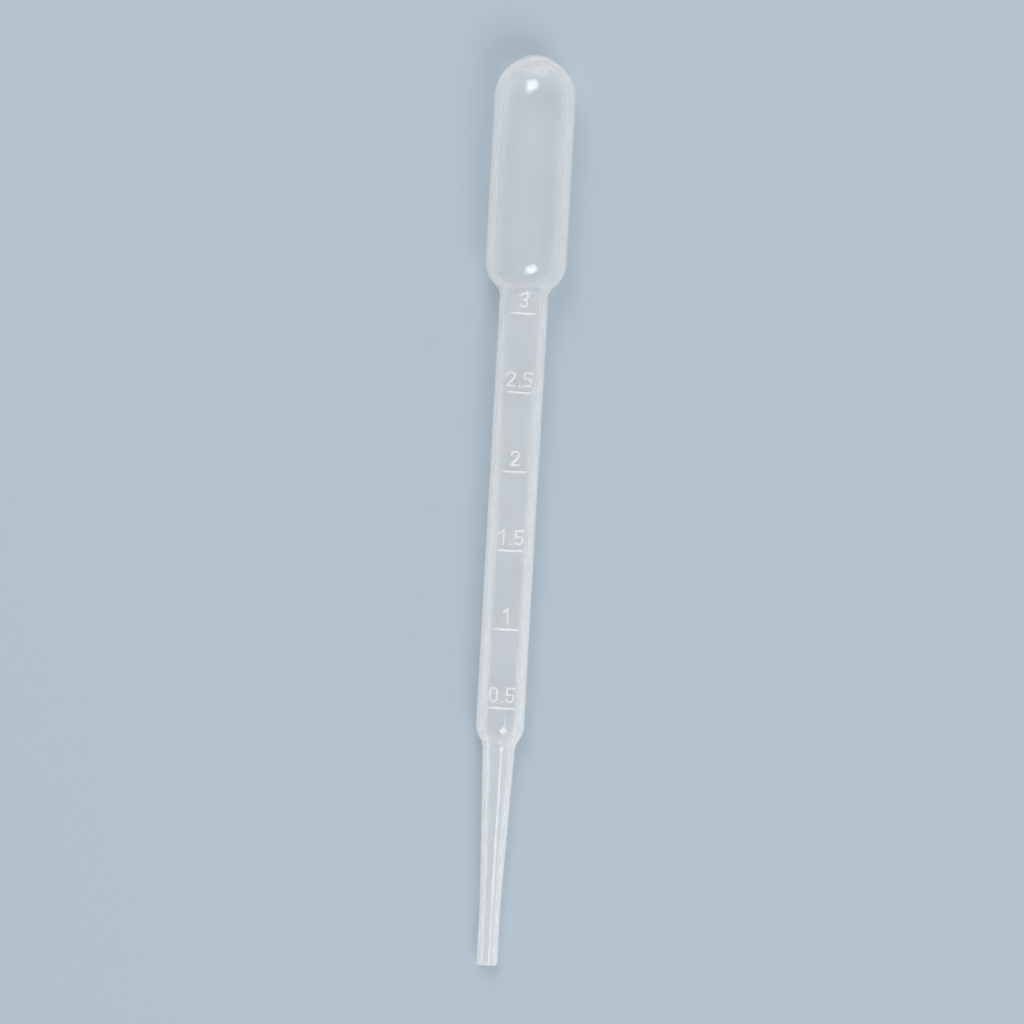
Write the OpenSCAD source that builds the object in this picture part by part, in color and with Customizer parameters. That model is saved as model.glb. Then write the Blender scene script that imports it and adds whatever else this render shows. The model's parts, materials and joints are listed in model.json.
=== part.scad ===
// A squeeze pipette for small amounts of liquid, blow moulded in one piece from soft
// translucent plastic: a drawn tip, a flare, a graduated stem and a domed bulb.
// Its outline is drawn upright, with s = 0 at the tip's end. The finished part lies along
// Y with its graduations up, and rests on the bulb's shoulder and the stem's lower end.

/* [Bulb] */
// Length of the whole pipette, from the tip's end to the crest of the bulb's seam
overall_length = 155; // [152:0.5:158]
// Outer diameter of the bulb
bulb_d = 13.8; // [13:0.1:14.6]
// Length of the bulb, from the neck to its crest
bulb_length = 40.8; // [38:0.2:44]
// Radius of the bulb's shoulder
shoulder_r = 5.6; // [4.5:0.1:6.2]
// Radius of the hollow where the stem runs into the shoulder
neck_r = 2; // [1:0.1:3]
// Wall of the bulb
bulb_wall = 0.45; // [0.35:0.05:0.6]

/* [Stem] */
// Outer diameter of the stem
stem_d = 8.25; // [7.8:0.05:8.6]
// Wall of the stem
stem_wall = 0.675; // [0.6:0.005:0.8]

/* [Tip] */
// Length of the tip, from its end to the stem
tip_length = 41; // [39:0.1:42]
// Length of the straight end of the tip
tip_end_length = 10.5; // [8:0.5:12]
// Outer diameter of the tip at its end
tip_end_d = 3.55; // [3.4:0.05:3.8]
// Wall of the tip
tip_wall = 0.75; // [0.65:0.05:0.85]
// Outer diameter of the tip where the flare starts
tip_root_d = 5.5; // [5.2:0.1:5.8]
// Radius of both bends of the flare
flare_r = 3.9; // [3.2:0.1:3.9]

/* [Graduations] */
// Volume between two marks, in cubic millimetres
mark_volume = 500; // [500:10:520]
// Distance from the tip's end to the lowest mark
first_mark = 44.3; // [43:0.1:44.5]
// Height that the marks and numerals stand proud of the stem
mark_relief = 0.16; // [0.1:0.01:0.2]
// Length of a mark across the stem
mark_width = 4; // [3:0.1:5]
// Height of the numerals
numeral_height = 2.7; // [2.4:0.1:2.8]
// Width of a numeral
numeral_width = 1.6; // [1.4:0.05:1.7]
// Width of a numeral's strokes and of the marks
stroke = 0.42; // [0.35:0.01:0.5]

/* [Mould lines] */
// Width of the mould line down each side
mould_line_width = 0.3; // [0.2:0.05:0.4]
// Height that the mould lines stand proud
mould_line_relief = 0.06; // [0.04:0.01:0.1]
// Width of the pinched seam across the top of the bulb
seam_width = 4.4; // [3:0.2:6]
// Thickness of the pinched seam
seam_thickness = 0.6; // [0.4:0.1:0.8]
// Height that the pinched seam stands proud
seam_relief = 0.25; // [0.15:0.05:0.35]

/* [Hidden] */
$fn = 96;

// Radii, and the number of steps in each arc of a bend
bulb_r = bulb_d / 2;
stem_r = stem_d / 2;
tip_end_r = tip_end_d / 2;
tip_root_r = tip_root_d / 2;
stem_bore_r = stem_r - stem_wall;
bend_steps = 8;

// A bend from radius a to a wider radius b has a hollow arc of radius f that leaves a and
// a round arc of radius r that ends on b. This is the angle that both arcs turn through.
function bend_turn(a, b, r, f) = acos((a + f - b + r) / (r + f));
// Its length along the axis
function bend_length(a, b, r, f) = (r + f) * sin(bend_turn(a, b, r, f));
// Its points, where s is the station that it ends at
function bend(a, b, r, f, s) =
    let (
        turn = bend_turn(a, b, r, f),
        start = s - bend_length(a, b, r, f)
    )
    concat(
        [for (i = [0 : bend_steps])
            [a + f - f * cos(turn * i / bend_steps), start + f * sin(turn * i / bend_steps)]],
        [for (i = [bend_steps - 1 : -1 : 0])
            [b - r + r * cos(turn * i / bend_steps), s - r * sin(turn * i / bend_steps)]]
    );

// Stations along the axis
neck_s = overall_length - bulb_length;
shoulder_s = neck_s + bend_length(stem_r, bulb_r, shoulder_r, neck_r);
dome_s = overall_length - seam_relief - bulb_r;

// Pitch of the marks, and the volume in millilitres that each stands for
mark_pitch = mark_volume / (PI * pow(stem_bore_r, 2));
mark_count = 6;
numeral_gap = 0.38;
numeral_lift = 0.9;
arc_step = 12;
past_end = 1;

// At rest the shoulder and the stem's lower end touch one straight line, which slopes
// against the axis by this angle
rest_run = shoulder_s - tip_length;
rest_rise = (bulb_r - shoulder_r) - (stem_r - flare_r);
rest_tilt = atan2(rest_rise, rest_run) + asin((shoulder_r - flare_r) / norm([rest_run, rest_rise]));
// Height of the axis above the ground at the tip's end
rest_height = shoulder_r - shoulder_s * sin(rest_tilt) + (bulb_r - shoulder_r) * cos(rest_tilt);
// Ends of the lying pipette along Y, measured from the axis at the tip's end
rest_back = overall_length * cos(rest_tilt) + seam_thickness / 2 * sin(rest_tilt);
rest_front = -tip_end_r * sin(rest_tilt);

// Half section of a body about the axis, which is the outline less a wall in the tip, one
// in the stem and one in the bulb
function half_section(walls, low) =
    let (
        end_r = tip_end_r - walls[0],
        root_r = tip_root_r - walls[0],
        tube_r = stem_r - walls[1],
        top_r = bulb_r - walls[2]
    )
    concat(
        [[0, low], [end_r, low], [end_r, tip_end_length]],
        bend(root_r, tube_r, flare_r - walls[1], flare_r + walls[1], tip_length),
        bend(tube_r, top_r, shoulder_r - walls[2], neck_r + walls[1], shoulder_s),
        [[top_r, dome_s], [0, dome_s]]
    );

// The round body within those walls, with its domed end
module round_body(walls, low) {
    dome_r = bulb_r - walls[2];
    rotate_extrude() {
        polygon(half_section(walls, low));
        translate([0, dome_s])
            intersection() {
                circle(dome_r);
                translate([0, -dome_r / 2])
                    square([dome_r, 1.5 * dome_r]);
            }
    }
}

// Points of an arc about a centre, in steps of arc_step degrees
function arc(centre, r, from, to) =
    [for (a = [from : sign(to - from) * arc_step : to]) centre + r * [cos(a), sin(a)]];

// A stroke along part of a circle of outer radius r, from one angle to another
module arc_stroke(r, from, to) {
    reach = 2 * r;
    intersection() {
        difference() {
            circle(r);
            circle(r - stroke);
        }
        polygon(concat([[0, 0]], [for (i = [0 : 4])
            let (a = from + (to - from) * i / 4) reach * [cos(a), sin(a)]]));
    }
}

// The outline of a nought whose ends are half circles of radius r
module nought(r) {
    end = numeral_width / 2;
    polygon(concat(arc([end, numeral_height - end], r, 0, 180), arc([end, end], r, 180, 360)));
}

// The numerals, each with its lower left corner at the origin
module numeral_zero() {
    difference() {
        nought(numeral_width / 2);
        nought(numeral_width / 2 - stroke);
    }
}

module numeral_one() {
    flag = 1.6 * stroke;
    translate([numeral_width / 2, 0])
        square([stroke, numeral_height]);
    polygon([
        [numeral_width / 2 + stroke / 2, numeral_height],
        [numeral_width / 2 - flag, numeral_height - flag],
        [numeral_width / 2 - flag, numeral_height - flag - stroke],
        [numeral_width / 2 + stroke / 2, numeral_height - stroke]
    ]);
}

module numeral_two() {
    r = numeral_width / 2;
    centre = [r, numeral_height - r];
    lean = 36;
    foot = 1.3 * stroke;
    polygon(concat(
        arc(centre, r, 180, -lean),
        [[foot, stroke], [numeral_width, stroke], [numeral_width, 0], [0, 0], [0, stroke]],
        arc(centre, r - stroke, -lean, 180)
    ));
}

module numeral_three() {
    r = (numeral_height + stroke) / 4;
    gap = 160;
    translate([numeral_width / 2, numeral_height - r])
        arc_stroke(r, -90, gap);
    translate([numeral_width / 2, r])
        arc_stroke(r, -gap, 90);
}

module numeral_five() {
    r = (numeral_height + stroke) / 3.6;
    gap = 145;
    bowl_start = 125;
    bar_foot = r + (r - stroke) * sin(bowl_start);
    translate([numeral_width - r, r])
        arc_stroke(r, -gap, bowl_start);
    translate([0, bar_foot])
        square([stroke, numeral_height - bar_foot]);
    translate([0, numeral_height - stroke])
        square([numeral_width, stroke]);
}

module decimal_point() {
    translate([stroke / 2, stroke / 2])
        circle(stroke * 0.6);
}

// The whole number of millilitres, and the half where there is one, centred on x = 0
module numerals(halves) {
    whole = floor(halves / 2);
    has_half = halves % 2 == 1;
    half_width = has_half ? numeral_gap + stroke + numeral_gap + numeral_width : 0;
    translate([-(numeral_width + half_width) / 2, 0]) {
        if (whole == 0) numeral_zero();
        if (whole == 1) numeral_one();
        if (whole == 2) numeral_two();
        if (whole == 3) numeral_three();
        if (has_half) {
            translate([numeral_width + numeral_gap, 0])
                decimal_point();
            translate([half_width, 0])
                numeral_five();
        }
    }
}

// Six raised marks on the stem's face, each with its numerals above it
module graduations() {
    intersection() {
        translate([0, 0, tip_length])
            cylinder(r = stem_r + mark_relief, h = shoulder_s - tip_length);
        rotate([90, 0, 0])
            linear_extrude(height = stem_r + 1)
                for (halves = [1 : mark_count])
                    translate([0, first_mark + (halves - 1) * mark_pitch]) {
                        translate([-mark_width / 2, -stroke / 2])
                            square([mark_width, stroke]);
                        translate([0, numeral_lift])
                            numerals(halves);
                    }
    }
}

// The fine lines that the two halves of the mould leave down both sides
module mould_lines() {
    reach = bulb_r + 1;
    intersection() {
        round_body(-mould_line_relief * [1, 1, 1], 0);
        translate([-reach, -mould_line_width / 2, 0])
            cube([2 * reach, mould_line_width, overall_length]);
    }
}

// The pinched seam across the top of the bulb
module pinched_seam() {
    intersection() {
        translate([0, 0, dome_s])
            rotate([90, 0, 0])
                cylinder(r = bulb_r + seam_relief, h = seam_thickness, center = true);
        translate([-seam_width / 2, -seam_thickness, dome_s])
            cube([seam_width, 2 * seam_thickness, 2 * bulb_r]);
    }
}

// The pipette stands on its tip here, as in the outline
module upright() {
    difference() {
        union() {
            round_body([0, 0, 0], 0);
            graduations();
            mould_lines();
            pinched_seam();
        }
        round_body([tip_wall, stem_wall, bulb_wall], -past_end);
    }
}

module pipette() {
    color("whitesmoke")
        translate([0, -(rest_back + rest_front) / 2, rest_height])
            rotate([rest_tilt - 90, 0, 0])
                upright();
}

pipette();
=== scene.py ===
import json
import math

import bpy
from mathutils import Matrix, Vector


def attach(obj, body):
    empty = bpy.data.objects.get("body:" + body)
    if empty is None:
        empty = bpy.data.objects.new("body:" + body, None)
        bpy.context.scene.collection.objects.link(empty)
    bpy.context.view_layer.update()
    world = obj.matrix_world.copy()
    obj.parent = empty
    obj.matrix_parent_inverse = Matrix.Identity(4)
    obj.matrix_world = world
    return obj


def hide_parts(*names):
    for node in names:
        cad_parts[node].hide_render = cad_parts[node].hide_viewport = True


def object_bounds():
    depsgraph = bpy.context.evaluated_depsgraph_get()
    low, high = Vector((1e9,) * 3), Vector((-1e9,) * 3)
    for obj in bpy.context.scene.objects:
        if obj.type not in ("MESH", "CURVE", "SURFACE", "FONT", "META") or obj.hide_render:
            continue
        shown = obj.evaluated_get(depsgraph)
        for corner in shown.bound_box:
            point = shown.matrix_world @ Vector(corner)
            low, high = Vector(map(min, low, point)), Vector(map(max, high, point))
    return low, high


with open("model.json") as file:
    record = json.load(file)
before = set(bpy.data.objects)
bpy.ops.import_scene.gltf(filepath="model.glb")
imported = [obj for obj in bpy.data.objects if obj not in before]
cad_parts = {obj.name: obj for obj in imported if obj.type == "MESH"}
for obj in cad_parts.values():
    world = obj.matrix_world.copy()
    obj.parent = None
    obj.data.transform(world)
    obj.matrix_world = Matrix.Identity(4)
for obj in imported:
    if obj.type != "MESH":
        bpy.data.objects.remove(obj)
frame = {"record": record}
cad_low, cad_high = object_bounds()
bpy.ops.object.select_all(action="DESELECT")


# ---------------------------------------------------------------------------------------
# Camera. It looks straight down on the lying pipette, bulb at the top, and is turned a
# little so that the pipette leans to the right.
# ---------------------------------------------------------------------------------------
lens = 0.110
sensor = 0.036
lean = math.radians(3.2)
share_of_height = 0.88

length = cad_high.y - cad_low.y
camera_height = length / share_of_height * lens / sensor
bpy.ops.object.camera_add(location=(0, 0, camera_height), rotation=(0, 0, lean))
camera = bpy.context.object
camera.name = "camera"
camera.data.lens = lens * 1000
camera.data.sensor_width = sensor * 1000
camera.data.clip_start = 0.01
camera.data.clip_end = 20
bpy.context.scene.camera = camera
bpy.context.scene.view_settings.view_transform = "Standard"

# Light crosses a hollow clear piece many times before it comes out
light_paths = bpy.context.scene.cycles
light_paths.max_bounces = 32
light_paths.transmission_bounces = 32
light_paths.volume_bounces = 16
light_paths.transparent_max_bounces = 16


# ---------------------------------------------------------------------------------------
# Floor and light. A plain pale sheet lies under the pipette. The room's pale walls are lit
# more than its ceiling, and a square soft lamp stands off each end of the pipette.
# ---------------------------------------------------------------------------------------
floor_size = 8
floor_colour = (0.47, 0.56, 0.63, 1)
room_colour = (0.80, 0.83, 0.86, 1)
light_of_walls = 0.92
light_of_ceiling = 0.155
softbox_side = 0.6
softbox_watts = 5.2

bpy.ops.mesh.primitive_plane_add(size=floor_size, location=(0, 0, cad_low.z))
floor = bpy.context.object
floor.name = "floor"
floor_paper = bpy.data.materials.new("pale_paper")
floor_paper.use_nodes = True
paper = floor_paper.node_tree.nodes["Principled BSDF"]
paper.inputs["Base Color"].default_value = floor_colour
paper.inputs["Roughness"].default_value = 0.9
paper.inputs["Specular IOR Level"].default_value = 0.2
floor.data.materials.append(floor_paper)

room = bpy.data.worlds.new("room")
bpy.context.scene.world = room
room.use_nodes = True
room_nodes = room.node_tree.nodes
room_links = room.node_tree.links
light_of_room = room_nodes["Background"]
light_of_room.inputs["Color"].default_value = (1, 1, 1, 1)
way = room_nodes.new("ShaderNodeTexCoord")
height_of_way = room_nodes.new("ShaderNodeSeparateXYZ")
room_links.new(way.outputs["Generated"], height_of_way.inputs["Vector"])
fade = room_nodes.new("ShaderNodeMapRange")
fade.inputs["To Min"].default_value = light_of_walls
fade.inputs["To Max"].default_value = light_of_ceiling
room_links.new(height_of_way.outputs["Z"], fade.inputs["Value"])
room_links.new(fade.outputs["Result"], light_of_room.inputs["Strength"])
look_of_room = room_nodes.new("ShaderNodeBackground")
look_of_room.inputs["Color"].default_value = room_colour
ray = room_nodes.new("ShaderNodeLightPath")
mirrored = room_nodes.new("ShaderNodeMath")
mirrored.operation = "MAXIMUM"
room_links.new(ray.outputs["Is Glossy Ray"], mirrored.inputs[0])
room_links.new(ray.outputs["Is Transmission Ray"], mirrored.inputs[1])
seen = room_nodes.new("ShaderNodeMath")
seen.operation = "MAXIMUM"
room_links.new(ray.outputs["Is Camera Ray"], seen.inputs[0])
room_links.new(mirrored.outputs["Value"], seen.inputs[1])
light_or_look = room_nodes.new("ShaderNodeMixShader")
room_links.new(seen.outputs["Value"], light_or_look.inputs["Fac"])
room_links.new(light_of_room.outputs["Background"], light_or_look.inputs[1])
room_links.new(look_of_room.outputs["Background"], light_or_look.inputs[2])
room_links.new(light_or_look.outputs["Shader"], room_nodes["World Output"].inputs["Surface"])


def softbox(name, place):
    """A square flat lamp at place that faces the middle of the pipette."""
    bpy.ops.object.light_add(type="AREA", location=place)
    lamp = bpy.context.object
    lamp.name = name
    lamp.data.shape = "SQUARE"
    lamp.data.size = softbox_side
    lamp.data.energy = softbox_watts
    lamp.rotation_euler = (-Vector(place)).to_track_quat("-Z", "Y").to_euler()


softbox("bulb_end_lamp", (-0.19, 0.65, 1.0))
softbox("tip_end_lamp", (0.36, -0.56, 1.0))


# ---------------------------------------------------------------------------------------
# Pipette body. One blow-moulded piece of soft, milky polyethylene: a domed bulb, a
# graduated stem, a flare and a drawn tip with a cut end. The wall is thinnest in the bulb,
# where the plastic was blown out furthest, and thickest in the tip.
# ---------------------------------------------------------------------------------------
mm = 0.001
mounts = {mount["name"]: mount for mount in frame["record"]["mounts"]}
stem_mount, tip_mount = mounts["stem"], mounts["tip_bore"]

mould_line_relief = 0.06 * mm
seam_thickness = 0.6 * mm
seam_relief = 0.25 * mm

stem_r = stem_mount["dims"]["r_mm"] * mm
tip_bore_r = tip_mount["dims"]["r_mm"] * mm
tip_end_length = tip_mount["dims"]["length_mm"] * mm
bulb_r = (cad_high.x - cad_low.x) / 2 - mould_line_relief

# The pipette's axis, from the tip's end towards the bulb, and its slope at rest
along = -Vector(tip_mount["axis"]).normalized()
tip_end = Vector(tip_mount["pos_m"]) - along * tip_end_length / 2
slope = math.atan2(along.z, along.y)
pipette_length = (cad_high.y - tip_end.y - seam_thickness / 2 * math.sin(slope)) / math.cos(slope)

tip_length = 41 * mm
bulb_length = 40.8 * mm
tip_wall = 0.75 * mm
stem_wall = 0.675 * mm
bulb_wall = 0.45 * mm
tip_end_r = tip_bore_r + tip_wall
tip_root_r = 2.75 * mm
flare_r = 3.9 * mm
neck_r = 2 * mm
shoulder_r = 5.6 * mm
cut_edge_r = 0.08 * mm

round_steps = 192
bend_steps = 14
dome_steps = 26
straight_steps = 8


def bend_turn(a, b, r, f):
    """The angle of a bend that leaves radius a by a hollow arc f and ends on b by a round arc r."""
    return math.acos((a + f - b + r) / (r + f))


def bend_length(a, b, r, f):
    """The length of that bend along the axis."""
    return (r + f) * math.sin(bend_turn(a, b, r, f))


def bend(a, b, r, f, station):
    """The points of that bend, which ends at station."""
    turn = bend_turn(a, b, r, f)
    start = station - bend_length(a, b, r, f)
    angles = [turn * i / bend_steps for i in range(bend_steps + 1)]
    hollow = [(a + f - f * math.cos(angle), start + f * math.sin(angle)) for angle in angles]
    convex = [(b - r + r * math.cos(angle), station - r * math.sin(angle)) for angle in angles[-2::-1]]
    return hollow + convex


neck_station = pipette_length - bulb_length
shoulder_station = neck_station + bend_length(stem_r, bulb_r, shoulder_r, neck_r)
dome_station = pipette_length - seam_relief - bulb_r


def between(start, end):
    """Points in even steps between two others."""
    start, end = Vector(start), Vector(end)
    return [tuple(start.lerp(end, i / straight_steps)) for i in range(1, straight_steps)]


def wall_line(tip_wall, stem_wall, bulb_wall):
    """Half of the outline less a wall in each stretch, from the tip's straight end to the crest."""
    tube_r = stem_r - stem_wall
    top_r = bulb_r - bulb_wall
    flare = bend(tip_root_r - tip_wall, tube_r, flare_r - stem_wall, flare_r + stem_wall, tip_length)
    shoulder = bend(tube_r, top_r, shoulder_r - bulb_wall, neck_r + stem_wall, shoulder_station)
    tip_top = (tip_end_r - tip_wall, tip_end_length)
    quarter = [math.pi / 2 * i / dome_steps for i in range(dome_steps + 1)]
    dome = [(top_r * math.cos(angle), dome_station + top_r * math.sin(angle)) for angle in quarter]
    return (
        [tip_top]
        + between(tip_top, flare[0])
        + flare
        + between(flare[-1], shoulder[0])
        + shoulder
        + between(shoulder[-1], dome[0])
        + dome
    )


def draw(points):
    """A line of edges through points, drawn out of one point and left in edit mode, all selected."""
    bpy.ops.mesh.primitive_plane_add(size=mm)
    bpy.ops.object.mode_set(mode="EDIT")
    bpy.ops.mesh.select_all(action="SELECT")
    bpy.ops.mesh.merge(type="CENTER")
    bpy.ops.transform.translate(value=points[0])
    for start, end in zip(points, points[1:]):
        bpy.ops.mesh.extrude_region_move(TRANSFORM_OT_translate={"value": end - start})
    bpy.ops.mesh.select_all(action="SELECT")
    return bpy.context.object


# The half section runs from the crest inside the bulb down the bore, round the cut end and
# up the outside to the crest
inner_edge = [(tip_bore_r, cut_edge_r), (tip_bore_r + cut_edge_r, 0)]
outer_edge = [(tip_end_r - cut_edge_r, 0), (tip_end_r, cut_edge_r)]
inside = wall_line(tip_wall, stem_wall, bulb_wall)
outside = wall_line(0, 0, 0)
half_section = inside[::-1] + inner_edge + outer_edge + outside

pipette = draw([Vector((radius, 0, station)) for radius, station in half_section])
pipette.name = "pipette_body"
bpy.ops.mesh.spin(steps=round_steps, angle=2 * math.pi, center=(0, 0, 0), axis=(0, 0, 1))
bpy.ops.mesh.select_all(action="SELECT")
bpy.ops.mesh.remove_doubles(threshold=0.002 * mm)
bpy.ops.mesh.normals_make_consistent(inside=False)
bpy.ops.object.mode_set(mode="OBJECT")


def fuse(feature, body):
    """Makes feature one with body."""
    bpy.ops.object.select_all(action="DESELECT")
    bpy.context.view_layer.objects.active = body
    body.select_set(True)
    bpy.ops.object.modifier_add(type="BOOLEAN")
    union = body.modifiers[-1]
    union.operation = "UNION"
    union.solver = "MANIFOLD"
    union.object = feature
    bpy.ops.object.modifier_apply(modifier=union.name)
    bpy.data.objects.remove(feature)


# ---------------------------------------------------------------------------------------
# Mould line. The two halves of the mould meet down both sides of the pipette and over its
# dome, and leave a fine raised line there.
# ---------------------------------------------------------------------------------------
mould_line_width = 0.3 * mm
mould_line_root = 0.2 * mm

crest = wall_line(-mould_line_relief, -mould_line_relief, -mould_line_relief)
root = wall_line(mould_line_root, mould_line_root, mould_line_root)
crest.insert(0, (crest[0][0], cut_edge_r))
root.insert(0, (root[0][0], cut_edge_r))
round_trip = (
    crest
    + [(-radius, station) for radius, station in crest[-2::-1]]
    + [(-radius, station) for radius, station in root]
    + root[-2::-1]
)
mould_line = draw([Vector((across, -mould_line_width / 2, up)) for across, up in round_trip])
bpy.ops.mesh.edge_face_add()
bpy.ops.mesh.select_all(action="SELECT")
bpy.ops.mesh.extrude_region_move(TRANSFORM_OT_translate={"value": (0, mould_line_width, 0)})
bpy.ops.mesh.select_all(action="SELECT")
bpy.ops.mesh.normals_make_consistent(inside=False)
bpy.ops.object.mode_set(mode="OBJECT")
fuse(mould_line, pipette)


# ---------------------------------------------------------------------------------------
# Pinched seam. The mould nips the soft tube shut at the top of the bulb, and leaves a low
# ridge across the crest.
# ---------------------------------------------------------------------------------------
seam_width = 4.4 * mm
seam_edge_r = 0.12 * mm
seam_r = bulb_r + seam_relief

bpy.ops.mesh.primitive_cylinder_add(
    vertices=round_steps,
    radius=seam_r,
    depth=seam_thickness,
    location=(0, 0, dome_station),
    rotation=(math.pi / 2, 0, 0),
)
seam = bpy.context.object
bpy.ops.object.transform_apply()
bpy.ops.object.mode_set(mode="EDIT")
for place, out in (
    ((seam_width / 2, 0, 0), (1, 0, 0)),
    ((-seam_width / 2, 0, 0), (-1, 0, 0)),
    ((0, 0, dome_station + bulb_r / 2), (0, 0, -1)),
):
    bpy.ops.mesh.select_all(action="SELECT")
    bpy.ops.mesh.bisect(plane_co=place, plane_no=out, clear_outer=True, use_fill=True)
bpy.ops.mesh.select_all(action="SELECT")
bpy.ops.mesh.normals_make_consistent(inside=False)
bpy.ops.object.mode_set(mode="OBJECT")
bpy.ops.object.modifier_add(type="BEVEL")
seam.modifiers[-1].width = seam_edge_r
seam.modifiers[-1].segments = 3
bpy.ops.object.modifier_apply(modifier=seam.modifiers[-1].name)
fuse(seam, pipette)


# ---------------------------------------------------------------------------------------
# Graduations. Six marks half a millilitre apart, each with its volume above it. A round
# cutter engraved them in the mould, so they stand on the stem as low, rounded strokes.
# ---------------------------------------------------------------------------------------
mark_volume = 500 * mm**3
first_mark = 44.3 * mm
mark_count = 6
mark_width = 4 * mm
numeral_lift = 0.9 * mm
numeral_height = 2.7 * mm
numeral_width = 1.6 * mm
numeral_gap = 0.38 * mm
stroke = 0.42 * mm
stroke_relief = 0.16 * mm

half = stroke / 2
dot_r = 0.6 * stroke
mark_pitch = mark_volume / (math.pi * (stem_r - stem_wall) ** 2)


def arc(centre, radius, start, end, steps=18):
    """The points of an arc from one angle to another, in degrees."""
    angles = [math.radians(start + (end - start) * i / steps) for i in range(steps + 1)]
    across, up = centre
    return [(across + radius * math.cos(angle), up + radius * math.sin(angle)) for angle in angles]


# The middle lines of the strokes that each numeral is cut with, from its lower left corner
middle = numeral_width / 2
top = numeral_height - half
right = numeral_width - half
nought_r = middle - half
three_r = (top - half) / 4
five_r = 0.66 * mm
corner_r = 1.1 * half
flag_reach = 0.45 * mm
flag_drop = 0.5 * mm
stroke_step = 0.25 * mm
round_end = (25, 50, 70, 85)
five_centre = (right - five_r, half + five_r)
five_bowl = arc(five_centre, five_r, 132, -145)
numerals = {
    "0": [
        arc((middle, top - nought_r), nought_r, 0, 180)
        + arc((middle, half + nought_r), nought_r, 180, 360),
    ],
    "1": [
        [(middle - flag_reach, top - flag_drop), (middle + half, top)],
        [(middle + half, top), (middle + half, half)],
    ],
    "2": [
        arc((middle, top - nought_r), nought_r, 175, -38) + [(half, half)],
        [(half, half), (right, half)],
    ],
    "3": [
        arc((middle, top - three_r), three_r, 155, -90),
        arc((middle, half + three_r), three_r, 90, -155),
    ],
    "5": [
        [(right, top)] + arc((half + corner_r, top - corner_r), corner_r, 90, 180, 6) + [five_bowl[0]],
        five_bowl,
    ],
}


def on_stem(across, up, depth=0):
    """The place on the stem's upper face, at a depth below the strokes' crests."""
    radius = stem_r + stroke_relief - depth
    return (across, -math.sqrt(radius**2 - across**2), up)


def raised(points, closed=False):
    """A round-ended stroke along points of the stem's upper face, given across and along it."""
    ends = points[1:] + points[:1] if closed else points[1:]
    line = [(Vector(points[0]), 1)]
    for start, end in zip(points, ends):
        start, end = Vector(start), Vector(end)
        steps = math.ceil((end - start).length / stroke_step)
        line += [(start.lerp(end, i / steps), 1) for i in range(1, steps + 1)]
    if closed:
        line.pop()
    else:
        first_way = (line[0][0] - line[1][0]).normalized()
        last_way = (line[-1][0] - line[-2][0]).normalized()
        for angle in round_end:
            reach = half * math.sin(math.radians(angle))
            thickness = math.cos(math.radians(angle))
            line.insert(0, (Vector(points[0]) + first_way * reach, thickness))
            line.append((Vector(points[-1]) + last_way * reach, thickness))
    bpy.ops.curve.primitive_bezier_curve_add()
    curve = bpy.context.object
    curve.data.splines.clear()
    spline = curve.data.splines.new("POLY")
    spline.points.add(len(line) - 1)
    for point, (place, thickness) in zip(spline.points, line):
        point.co = (*on_stem(*place, half), 1)
        point.radius = thickness
    spline.use_cyclic_u = closed
    curve.data.bevel_depth = half
    curve.data.bevel_resolution = 4
    curve.data.use_fill_caps = True
    bpy.ops.object.convert(target="MESH")
    cut = bpy.context.object
    bpy.ops.object.mode_set(mode="EDIT")
    bpy.ops.mesh.select_all(action="SELECT")
    bpy.ops.mesh.remove_doubles(threshold=0.0001 * mm)
    bpy.ops.mesh.normals_make_consistent(inside=False)
    bpy.ops.object.mode_set(mode="OBJECT")
    return cut


def bead(across, up):
    """The round bead of a decimal point."""
    bpy.ops.mesh.primitive_uv_sphere_add(segments=24, ring_count=16, radius=dot_r)
    dot = bpy.context.object
    dot.data.transform(Matrix.Translation(on_stem(across, up, dot_r)))
    return dot


for count in range(1, mark_count + 1):
    station = first_mark + (count - 1) * mark_pitch
    reach = mark_width / 2 - half
    mark = raised([(reach * (i / 6 - 1), station) for i in range(13)])
    foot = station + numeral_lift
    label = f"{count / 2:g}"
    advances = [(stroke if letter == "." else numeral_width) + numeral_gap for letter in label]
    pen = -(sum(advances) - numeral_gap) / 2
    for letter, advance in zip(label, advances):
        if letter == ".":
            fuse(bead(pen + half, foot + half), mark)
        else:
            for line in numerals[letter]:
                points = [(pen + across, foot + up) for across, up in line]
                fuse(raised(points, closed=letter == "0"), mark)
        pen += advance
    fuse(mark, pipette)


# ---------------------------------------------------------------------------------------
# The finished moulding. It lies on its shoulder and the lower end of its stem.
# ---------------------------------------------------------------------------------------
bpy.ops.object.select_all(action="DESELECT")
bpy.context.view_layer.objects.active = pipette
pipette.select_set(True)
bpy.ops.object.mode_set(mode="EDIT")
bpy.ops.mesh.select_all(action="SELECT")
bpy.ops.mesh.remove_doubles(threshold=0.0002 * mm)
bpy.ops.object.mode_set(mode="OBJECT")
pipette.data.transform(Matrix.Translation(tip_end) @ Matrix.Rotation(slope - math.pi / 2, 4, "X"))
pipette.data.update()
bpy.ops.object.shade_smooth_by_angle(angle=math.radians(35))

# Tints, and patches, streaks and grains to the metre, which run from noise_low to noise_high
clear_tint = (0.958, 0.965, 0.97, 1)
streak_tint = (0.975, 0.978, 0.98, 1)
clouds_to_metre = 85
streaks_to_metre = 650
streak_stretch = 20
grains_to_metre = 7000
noise_low, noise_high = 0.3, 0.7

# Clearness: it falls from 1 to clear_at_edge as the wall turns from clear_until to milky_from
# of the way to edge on, and sooner at the tip
clear_until, milky_from = 0.15, 0.85
clear_at_edge = 0.1
clear_at_marks = 0.45
clear_in_clouds = 0.96
milkier_at_tip = 1.6
share_past_a_face = 0.78
milk_density = 450

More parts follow.
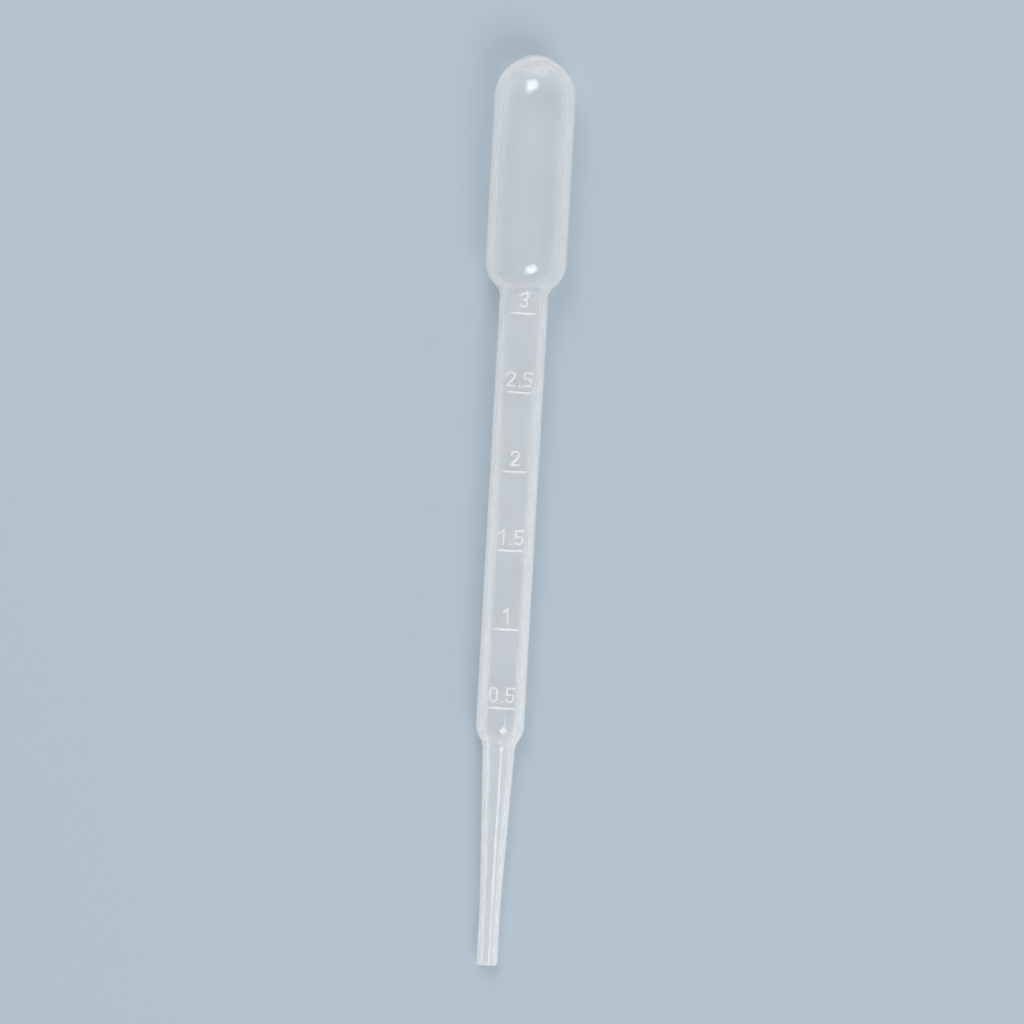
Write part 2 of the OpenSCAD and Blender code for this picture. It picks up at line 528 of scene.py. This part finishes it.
# Roughness and relief of the surface
least_rough, most_rough = 0.06, 0.1
rougher_on_marks = 0.12
streak_share, grain_share = 0.85, 0.15
surface_relief = 0.03 * mm
relief_strength = 0.04

# Where a point of the pipette lies: across it, along it from the tip's end, and up
polyethylene = bpy.data.materials.new("milky_polyethylene")
polyethylene.use_nodes = True
nodes = polyethylene.node_tree.nodes
links = polyethylene.node_tree.links
plastic = nodes["Principled BSDF"]
surface_point = nodes.new("ShaderNodeTexCoord")
own_point = nodes.new("ShaderNodeMapping")
own_point.vector_type = "TEXTURE"
own_point.inputs["Location"].default_value = tip_end
own_point.inputs["Rotation"].default_value = (slope, 0, 0)
links.new(surface_point.outputs["Object"], own_point.inputs["Vector"])


def noise(point, scale, detail):
    """A soft random pattern, with scale patches to the metre."""
    pattern = nodes.new("ShaderNodeTexNoise")
    pattern.inputs["Scale"].default_value = scale
    pattern.inputs["Detail"].default_value = detail
    links.new(point, pattern.inputs["Vector"])
    return pattern.outputs["Fac"]


def spread(value, low, high, at_low, at_high):
    """Turns value, which runs from low to high, into one that runs from at_low to at_high."""
    change = nodes.new("ShaderNodeMapRange")
    change.inputs["From Min"].default_value = low
    change.inputs["From Max"].default_value = high
    change.inputs["To Min"].default_value = at_low
    change.inputs["To Max"].default_value = at_high
    links.new(value, change.inputs["Value"])
    return change.outputs["Result"]


def calculate(operation, first, second):
    """One of Blender's sums on a socket and a second socket or number."""
    node = nodes.new("ShaderNodeMath")
    node.operation = operation
    links.new(first, node.inputs[0])
    if isinstance(second, bpy.types.NodeSocket):
        links.new(second, node.inputs[1])
    else:
        node.inputs[1].default_value = second
    return node.outputs["Value"]


# Cloudy patches about 12 mm across, and streaks that were drawn out along the pipette
drawn_out = nodes.new("ShaderNodeMapping")
drawn_out.inputs["Scale"].default_value = (1, 1 / streak_stretch, 1)
links.new(own_point.outputs["Vector"], drawn_out.inputs["Vector"])
clouds = noise(own_point.outputs["Vector"], clouds_to_metre, 3)
streaks = noise(drawn_out.outputs["Vector"], streaks_to_metre, 4)
grain = noise(own_point.outputs["Vector"], grains_to_metre, 2)

# The marks and numerals stand further out from the axis than the stem's wall
off_axis = nodes.new("ShaderNodeVectorMath")
off_axis.operation = "MULTIPLY"
off_axis.inputs[1].default_value = (1, 0, 1)
links.new(own_point.outputs["Vector"], off_axis.inputs[0])
radius = nodes.new("ShaderNodeVectorMath")
radius.operation = "LENGTH"
links.new(off_axis.outputs["Vector"], radius.inputs[0])
split = nodes.new("ShaderNodeSeparateXYZ")
links.new(own_point.outputs["Vector"], split.inputs["Vector"])
below_neck = calculate("LESS_THAN", split.outputs["Y"], neck_station + 0.2 * neck_r)
proud = spread(radius.outputs["Value"], stem_r + mould_line_relief, stem_r + 0.75 * stroke_relief, 0, 1)
frosted = calculate("MULTIPLY", proud, below_neck)

# The wall looks milkier where it is seen edge on, most of all towards the tip, where it is
# thick for its radius, and where the mould was engraved
edge = nodes.new("ShaderNodeLayerWeight")
edge.inputs["Blend"].default_value = 0.35
thickness = spread(split.outputs["Y"], tip_length, neck_station, milkier_at_tip, 1)
edge_on = calculate("MULTIPLY", edge.outputs["Facing"], thickness)
clear = calculate(
    "MULTIPLY",
    spread(edge_on, clear_until, milky_from, 1, clear_at_edge),
    spread(clouds, noise_low, noise_high, 1, clear_in_clouds),
)
clear = calculate("MULTIPLY", clear, spread(frosted, 0, 1, 1, clear_at_marks))
links.new(clear, plastic.inputs["Transmission Weight"])

tint = nodes.new("ShaderNodeMix")
tint.data_type = "RGBA"
tint.inputs["A"].default_value = clear_tint
tint.inputs["B"].default_value = streak_tint
links.new(spread(streaks, noise_low, noise_high, 0, 1), tint.inputs["Factor"])
links.new(tint.outputs["Result"], plastic.inputs["Base Color"])

matt = calculate(
    "ADD",
    spread(streaks, noise_low, noise_high, least_rough, most_rough),
    spread(frosted, 0, 1, 0, rougher_on_marks),
)
links.new(matt, plastic.inputs["Roughness"])

height = calculate(
    "ADD",
    calculate("MULTIPLY", streaks, streak_share),
    calculate("MULTIPLY", grain, grain_share),
)
relief = nodes.new("ShaderNodeBump")
relief.inputs["Strength"].default_value = relief_strength
relief.inputs["Distance"].default_value = surface_relief
links.new(height, relief.inputs["Height"])
links.new(relief.outputs["Normal"], plastic.inputs["Normal"])

plastic.inputs["IOR"].default_value = 1.51

# Each face of the thin wall lets most of the lamps' light through, and its milk scatters
# the light on the way
lamp_ray = nodes.new("ShaderNodeLightPath")
let_through = nodes.new("ShaderNodeBsdfTransparent")
let_through.inputs["Color"].default_value = (*3 * [share_past_a_face], 1)
lit = nodes.new("ShaderNodeMixShader")
milk = nodes.new("ShaderNodeVolumeScatter")
milk.inputs["Color"].default_value = (1, 1, 1, 1)
milk.inputs["Density"].default_value = milk_density
finish = nodes["Material Output"]
links.new(lamp_ray.outputs["Is Shadow Ray"], lit.inputs["Fac"])
links.new(plastic.outputs["BSDF"], lit.inputs[1])
links.new(let_through.outputs["BSDF"], lit.inputs[2])
links.new(lit.outputs["Shader"], finish.inputs["Surface"])
links.new(milk.outputs["Volume"], finish.inputs["Volume"])
pipette.data.materials.clear()
pipette.data.materials.append(polyethylene)

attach(pipette, "root")
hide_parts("pipette")
